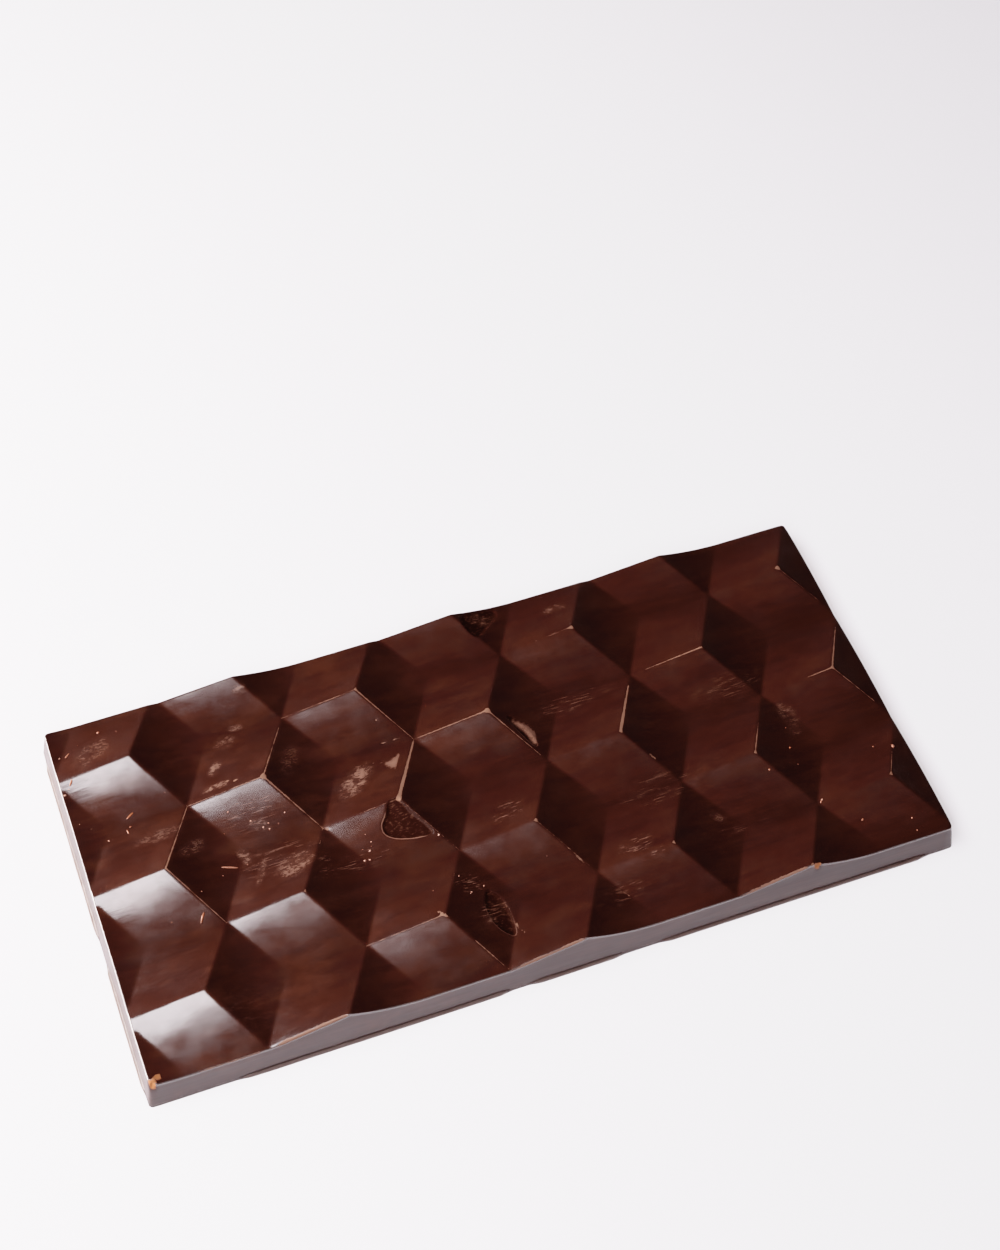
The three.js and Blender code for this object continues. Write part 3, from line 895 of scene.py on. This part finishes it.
def shaved_crumbs():
    """Crumbs and slivers shaved off the bar, dry and pale to tan, the palest partly lightened as a painted
    highlight.
    """
    material, tree = new_material("chocolate_crumbs_shaved")
    node = partial(add_node, tree)
    grain = patterns(tree, CRUMB_PATTERNS).grain
    # pale dots, lightened partly as a painted highlight for the light they catch, and orange-tan slivers
    pale = node(*TINT, grain, to_linear("8c5f50"), to_linear("b58676"))
    tan = node(*TINT, grain, to_linear("5e2c17"), to_linear("8a4a2c"))
    tint = node("ShaderNodeAttribute", {"attribute_name": "tint"}, out="Fac")
    colour = node(*TINT, tint, pale, tan)
    shader = node("ShaderNodeBsdfPrincipled", Base_Color=colour, Roughness=0.5, IOR=1.5)
    node("ShaderNodeOutputMaterial", Surface=shader)
    return material


def pale_floor():
    """Board with matt white paint, plain and pale, which takes a soft shadow."""
    material, tree = new_material("pale_matt_board")
    floor = bpy.context.scene.studio_look.floor
    shader = add_node(tree, "ShaderNodeBsdfPrincipled", Base_Color=floor, Roughness=0.9)
    add_node(tree, "ShaderNodeOutputMaterial", Surface=shader)
    return material


def dress(name, points, faces, values, material):
    """Makes a piece of the bar, with point values for its material, and hands it to the frame."""
    piece = new_piece(name, points, faces, material)
    for key, numbers in values.items():
        layer = piece.data.attributes.new(key, "FLOAT", "POINT")
        layer.data.foreach_set("value", np.asarray(numbers, np.float32))
    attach(piece, BODY)
    return piece


class CHOC_OT_bar(bpy.types.Operator):
    """Builds the bar's fine surface in place of the plain solid"""

    bl_idname = "choc.bar"
    bl_label = "Build bar"

    def execute(self, context):
        piece = dress("bar_surface", *bar_surface(mould()), moulded_chocolate())
        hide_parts(NODE)
        return {"FINISHED"}


class CHOC_OT_crumbs(bpy.types.Operator):
    """Lays crumbs and slivers on the bar"""

    bl_idname = "choc.crumbs"
    bl_label = "Scatter crumbs"

    def execute(self, context):
        dress("crumbs", *crumb_shards(mould()), shaved_crumbs())
        return {"FINISHED"}


# Camera: target and distance in millimetres, angles in degrees, lens in millimetres
CAMERA_TARGET = (13.34, 33.24, 6.3)
CAMERA_DISTANCE = 435.2
CAMERA_AZIMUTH = -22.831
CAMERA_ELEVATION = 54.369
CAMERA_ROLL = 2.935
CAMERA_LENS = 63.97

# Soft lights: top edge and foot edge as (x, z), then from and to along y, in metres
WINDOW_PANEL = ((-0.165, 0.505), (-0.2635, 0.340), -0.47, 0.19)
SILL_PANEL = ((-0.447, 0.194), (-0.462, 0.008), -0.05, 0.45)
FRONT_PLACE = (0.0, -2.2, 2.4)
FRONT_SIZE = (3.0, 2.0)
HORIZON_TOP = 0.34
WINDOW_COLOUR = (0.985, 0.965, 0.99)
LOW_COLOUR = (1.04, 0.975, 0.93)
ROOM_COLOUR = (1.0, 0.98, 1.0)

# Film response: brightness of the scene, then of the picture, both linear
FILM_WHITE = 4.4
FILM_CURVE = ((0.02, 0.0052), (0.05, 0.0231), (0.1, 0.0632), (0.2, 0.149), (0.4, 0.298), (0.8, 0.503),
              (1.2, 0.645), (2.0, 0.815), (3.0, 0.892), (4.4, 0.945))
FILM_TINT = (0.995, 0.975, 1.0)
FLOOR_HALF_MM = 450.0


class CHOC_OT_studio(bpy.types.Operator):
    """Lays the pale floor and sets the soft light and the camera"""

    bl_idname = "choc.studio"
    bl_label = "Set up studio"

    def execute(self, context):
        scene = context.scene
        look = scene.studio_look
        half = FLOOR_HALF_MM
        corners = [(-half, -half, 0), (half, -half, 0), (half, half, 0), (-half, half, 0)]
        floor = new_piece("floor", corners, [(0, 1, 2, 3)], pale_floor())
        floor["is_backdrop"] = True
        self.camera(scene)
        self.light(scene, look)
        self.film(scene)
        return {"FINISHED"}

    def camera(self, scene):
        azimuth, elevation, roll = (math.radians(v) for v in (CAMERA_AZIMUTH, CAMERA_ELEVATION, CAMERA_ROLL))
        back = Vector((math.sin(azimuth) * math.cos(elevation), -math.cos(azimuth) * math.cos(elevation),
                       math.sin(elevation)))
        right = (-back).cross(Vector((0, 0, 1))).normalized()
        up = back.cross(right)
        side = right * math.cos(roll) + up * math.sin(roll)
        top = up * math.cos(roll) - right * math.sin(roll)
        turn = Matrix((side, top, back)).transposed().to_4x4()
        data = bpy.data.cameras.new("camera")
        data.lens = CAMERA_LENS
        data.sensor_width = 36.0
        camera = bpy.data.objects.new("camera", data)
        place = Vector(CAMERA_TARGET) * MM + back * CAMERA_DISTANCE * MM
        camera.matrix_world = Matrix.Translation(place) @ turn
        scene.collection.objects.link(camera)
        scene.camera = camera

    def soft_light(self, scene, name, size, radiance, place, along, across):
        """Flat rectangular light. Its power is radiance times pi times area."""
        data = bpy.data.lights.new(name, "AREA")
        data.shape = "RECTANGLE"
        data.size, data.size_y = size
        data.energy = radiance * math.pi * size[0] * size[1]
        turn = Matrix((along, across, along.cross(across))).transposed().to_4x4()
        lamp = bpy.data.objects.new(name, data)
        lamp.matrix_world = Matrix.Translation(place) @ turn
        lamp.visible_camera = False
        scene.collection.objects.link(lamp)
        return data

    def panel(self, scene, name, panel, radiance):
        """Panel along y that leans between its top edge and its foot edge, facing the bar."""
        (top_x, top_z), (foot_x, foot_z), start, end = panel
        slope = math.hypot(top_x - foot_x, top_z - foot_z)
        place = ((top_x + foot_x) / 2, (start + end) / 2, (top_z + foot_z) / 2)
        along = Vector(((top_x - foot_x) / slope, 0, (top_z - foot_z) / slope))
        return self.soft_light(scene, name, (slope, end - start), radiance, place, along, Vector((0, 1, 0)))

    def light(self, scene, look):
        """A tall window on the left with a low bright part, a far soft light in front, and a dim room."""
        self.panel(scene, "window", WINDOW_PANEL, look.window).color = WINDOW_COLOUR
        low = self.panel(scene, "low_light", SILL_PANEL, look.sill)
        low.color = LOW_COLOUR
        low.use_shadow = False
        towards = -Vector(FRONT_PLACE).normalized()
        across = Vector((0, 0, 1)).cross(towards).normalized()
        self.soft_light(scene, "front_fill", FRONT_SIZE, look.front, FRONT_PLACE, across, across.cross(towards))
        world = bpy.data.worlds.new("room")
        world.use_nodes = True
        world.node_tree.nodes.clear()
        node = partial(add_node, world.node_tree)
        height = node("ShaderNodeSeparateXYZ", None, node("ShaderNodeTexCoord", out="Generated"), out="Z")
        strength = node(*STEP, height, 0.0, HORIZON_TOP, look.horizon, look.room)
        background = node("ShaderNodeBackground", Color=ROOM_COLOUR, Strength=strength)
        node("ShaderNodeOutputWorld", Surface=background)
        scene.world = world

    def film(self, scene):
        """Plain display with a soft toe and shoulder, so that the bright floor stays just below white."""
        view = scene.view_settings
        view.view_transform = "Standard"
        view.look = "None"
        view.use_curve_mapping = True
        mapping = view.curve_mapping
        mapping.white_level = (FILM_WHITE, FILM_WHITE, FILM_WHITE)
        curve = mapping.curves[3]
        for channel, white in zip(mapping.curves, FILM_TINT):
            channel.points[-1].location = (1.0, white)
        curve.points[0].location = (0.0, 0.0)
        curve.points[-1].location = (1.0, FILM_CURVE[-1][1])
        for scene_value, shown in FILM_CURVE[:-1]:
            curve.points.new(scene_value / FILM_WHITE, shown)
        for point in curve.points:
            point.handle_type = "AUTO_CLAMPED"
        mapping.update()


class CHOC_PT_panel(bpy.types.Panel):
    """Lists the steps that build the bar"""

    bl_idname = "CHOC_PT_panel"
    bl_label = "Chocolate bar"
    bl_space_type = "VIEW_3D"
    bl_region_type = "UI"
    bl_category = "Chocolate"

    def draw(self, context):
        for settings in SETTINGS:
            group = getattr(context.scene, settings)
            for name in group.__annotations__:
                self.layout.prop(group, name)
        for operator in (CHOC_OT_studio, CHOC_OT_bar, CHOC_OT_crumbs):
            self.layout.operator(operator.bl_idname)


SETTINGS = {"mould_sizes": MouldSizes, "chocolate_look": ChocolateLook, "studio_look": StudioLook}
CLASSES = (*SETTINGS.values(), CHOC_OT_bar, CHOC_OT_crumbs, CHOC_OT_studio, CHOC_PT_panel)


def register():
    for each in CLASSES:
        bpy.utils.register_class(each)
    for name, group in SETTINGS.items():
        setattr(bpy.types.Scene, name, PointerProperty(type=group))


def unregister():
    for name in SETTINGS:
        delattr(bpy.types.Scene, name)
    for each in reversed(CLASSES):
        bpy.utils.unregister_class(each)


def main():
    register()
    bpy.ops.choc.studio()
    bpy.ops.choc.bar()
    bpy.ops.choc.crumbs()
    ({"cad": [list(corner) for corner in CAD_BOX],
               "visual": [list(corner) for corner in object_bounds()]})


if __name__ == "__main__":
    main()
